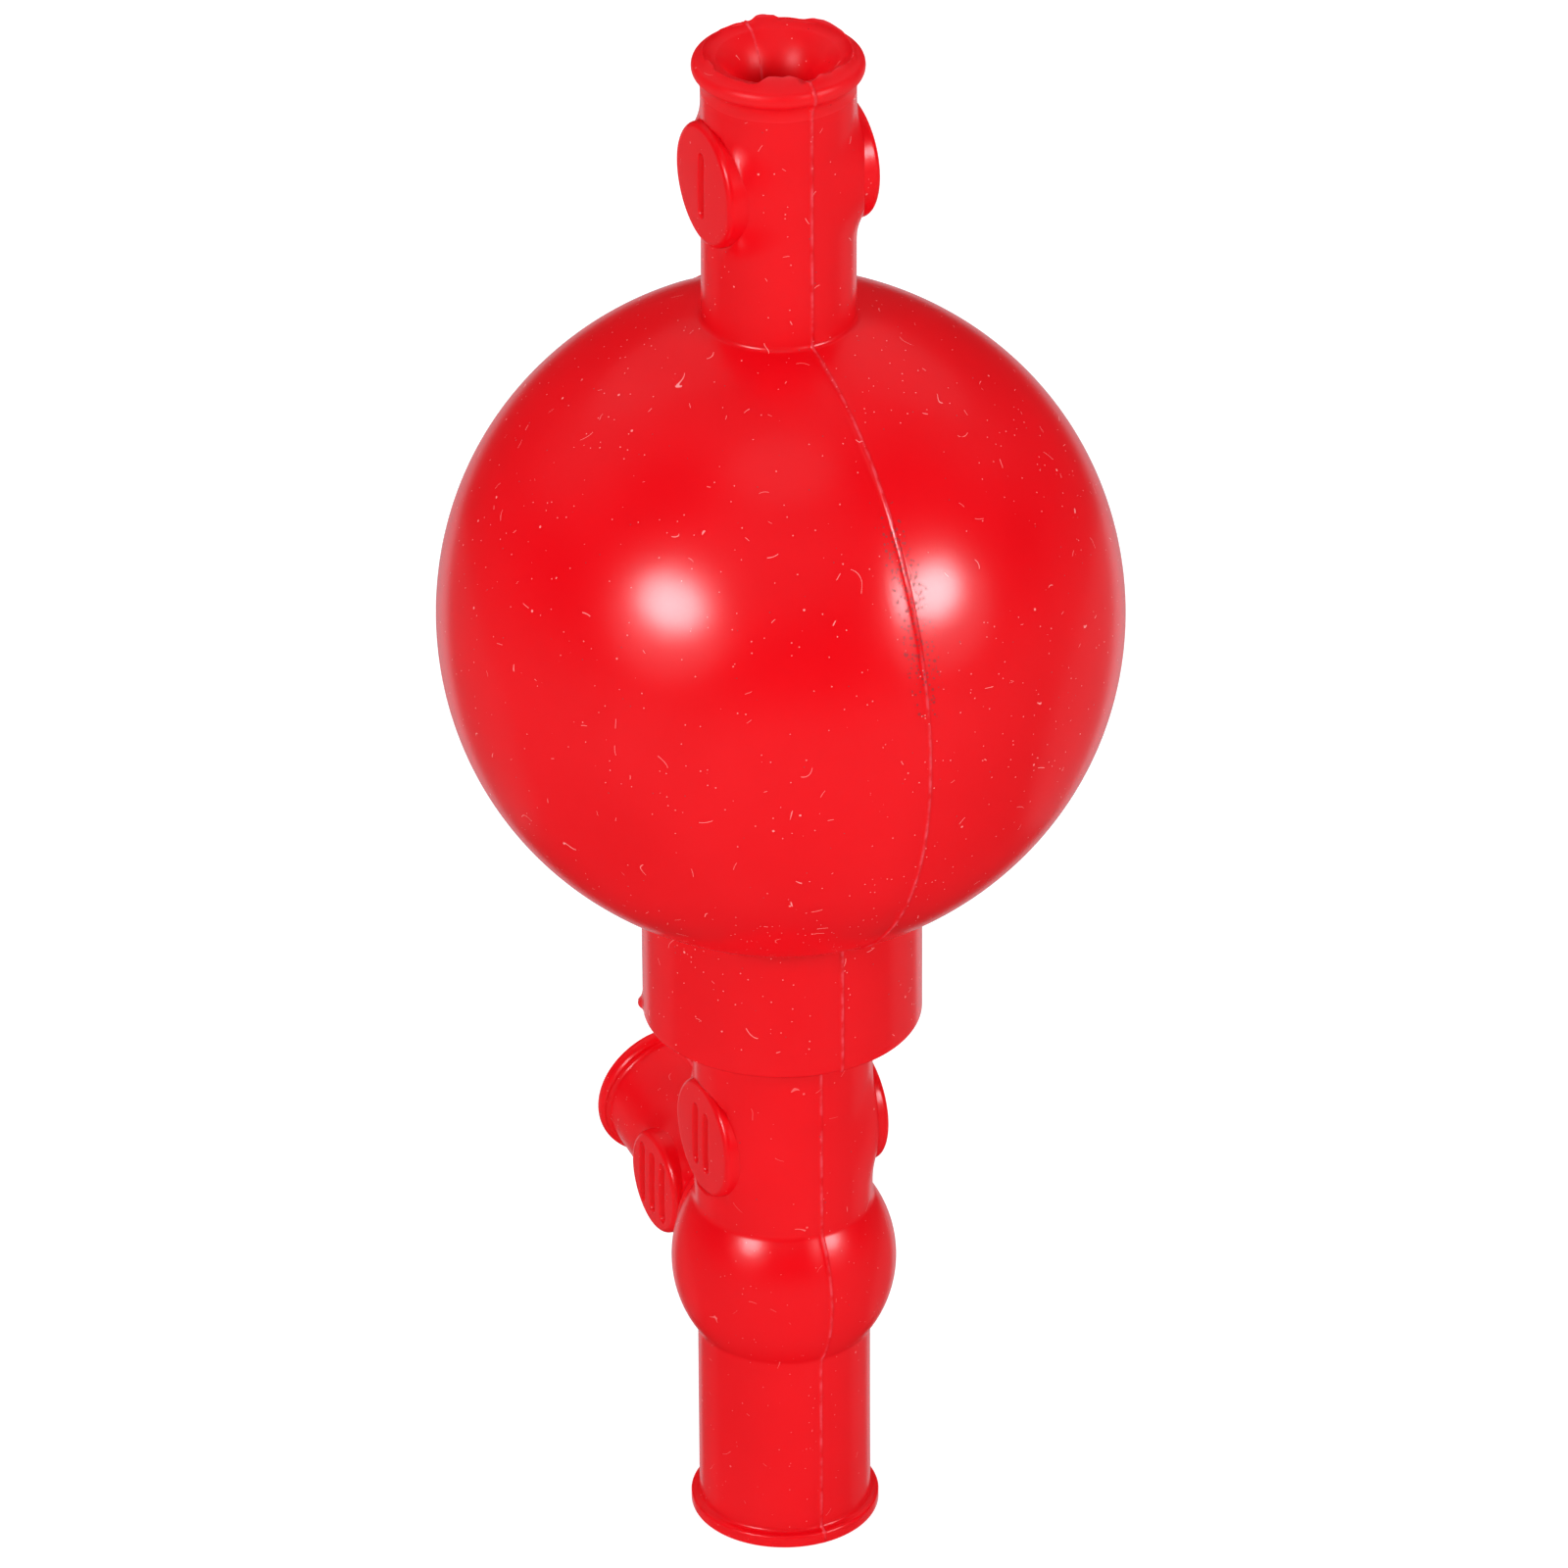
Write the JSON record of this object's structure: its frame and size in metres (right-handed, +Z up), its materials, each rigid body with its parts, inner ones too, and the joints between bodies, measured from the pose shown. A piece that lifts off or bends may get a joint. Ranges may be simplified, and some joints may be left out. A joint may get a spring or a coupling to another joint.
{
  "type": "pipette bulb pump",
  "caption": "Rubber bulb pump with pinch valves, a safety bulb and a side arm; a pipette plugs into its lower sleeve to be filled and emptied.",
  "frame": {"origin": "centre of the pipette sleeve's mouth, which is the pump's foot", "axes": "+Z up the pump's axis; the side arm points to -X, and the valve pads face -Y (front) and +Y (back)"},
  "size_m": [0.0602, 0.0602, 0.1468],
  "materials": {
    "red_rubber": "glossy red rubber, moulded",
    "clear_glass": "polished"
  },
  "bodies": {
    "pump": {"squeeze_bulb": "red_rubber", "valve_body": "red_rubber", "air_valve_ball": "clear_glass", "suction_valve_ball": "clear_glass", "empty_valve_ball": "clear_glass"},
    "bulb_front": {"bulb_wall_front": "red_rubber"},
    "bulb_back": {"bulb_wall_back": "red_rubber"},
    "safety_front": {"safety_wall_front": "red_rubber"},
    "safety_back": {"safety_wall_back": "red_rubber"},
    "air_pad_front": {"air_valve_pad_front": "red_rubber"},
    "air_pad_back": {"air_valve_pad_back": "red_rubber"},
    "suction_pad_front": {"suction_valve_pad_front": "red_rubber"},
    "suction_pad_back": {"suction_valve_pad_back": "red_rubber"},
    "empty_pad_front": {"empty_valve_pad_front": "red_rubber"},
    "empty_pad_back": {"empty_valve_pad_back": "red_rubber"}
  },
  "joints": [
    {"name": "bulb_squeeze", "type": "slide", "parent": "pump", "child": "bulb_front", "axis": [0, 1, 0], "range_m": [0, 0.015], "stiffness_N_per_m": 600},
    {"name": "bulb_squeeze_back", "type": "slide", "parent": "pump", "child": "bulb_back", "axis": [0, -1, 0], "range_m": [0, 0.015], "stiffness_N_per_m": 600},
    {"name": "safety_bulb_squeeze", "type": "slide", "parent": "pump", "child": "safety_front", "axis": [0, 1, 0], "range_m": [0, 0.004], "stiffness_N_per_m": 600},
    {"name": "safety_bulb_squeeze_back", "type": "slide", "parent": "pump", "child": "safety_back", "axis": [0, -1, 0], "range_m": [0, 0.004], "stiffness_N_per_m": 600},
    {"name": "air_valve_pinch", "type": "slide", "parent": "pump", "child": "air_pad_front", "axis": [0, 1, 0], "range_m": [0, 0.0014], "stiffness_N_per_m": 800},
    {"name": "air_valve_pinch_back", "type": "slide", "parent": "pump", "child": "air_pad_back", "axis": [0, -1, 0], "range_m": [0, 0.0014], "stiffness_N_per_m": 800},
    {"name": "suction_valve_pinch", "type": "slide", "parent": "pump", "child": "suction_pad_front", "axis": [0, 1, 0], "range_m": [0, 0.0014], "stiffness_N_per_m": 800},
    {"name": "suction_valve_pinch_back", "type": "slide", "parent": "pump", "child": "suction_pad_back", "axis": [0, -1, 0], "range_m": [0, 0.0014], "stiffness_N_per_m": 800},
    {"name": "empty_valve_pinch", "type": "slide", "parent": "pump", "child": "empty_pad_front", "axis": [0, 1, 0], "range_m": [0, 0.0014], "stiffness_N_per_m": 800},
    {"name": "empty_valve_pinch_back", "type": "slide", "parent": "pump", "child": "empty_pad_back", "axis": [0, -1, 0], "range_m": [0, 0.0014], "stiffness_N_per_m": 800}
  ],
  "couplings": [
    {"joint": "bulb_squeeze_back", "follows": "bulb_squeeze", "ratio": 1},
    {"joint": "safety_bulb_squeeze_back", "follows": "safety_bulb_squeeze", "ratio": 1},
    {"joint": "air_valve_pinch_back", "follows": "air_valve_pinch", "ratio": 1},
    {"joint": "suction_valve_pinch_back", "follows": "suction_valve_pinch", "ratio": 1},
    {"joint": "empty_valve_pinch_back", "follows": "empty_valve_pinch", "ratio": 1}
  ]
}
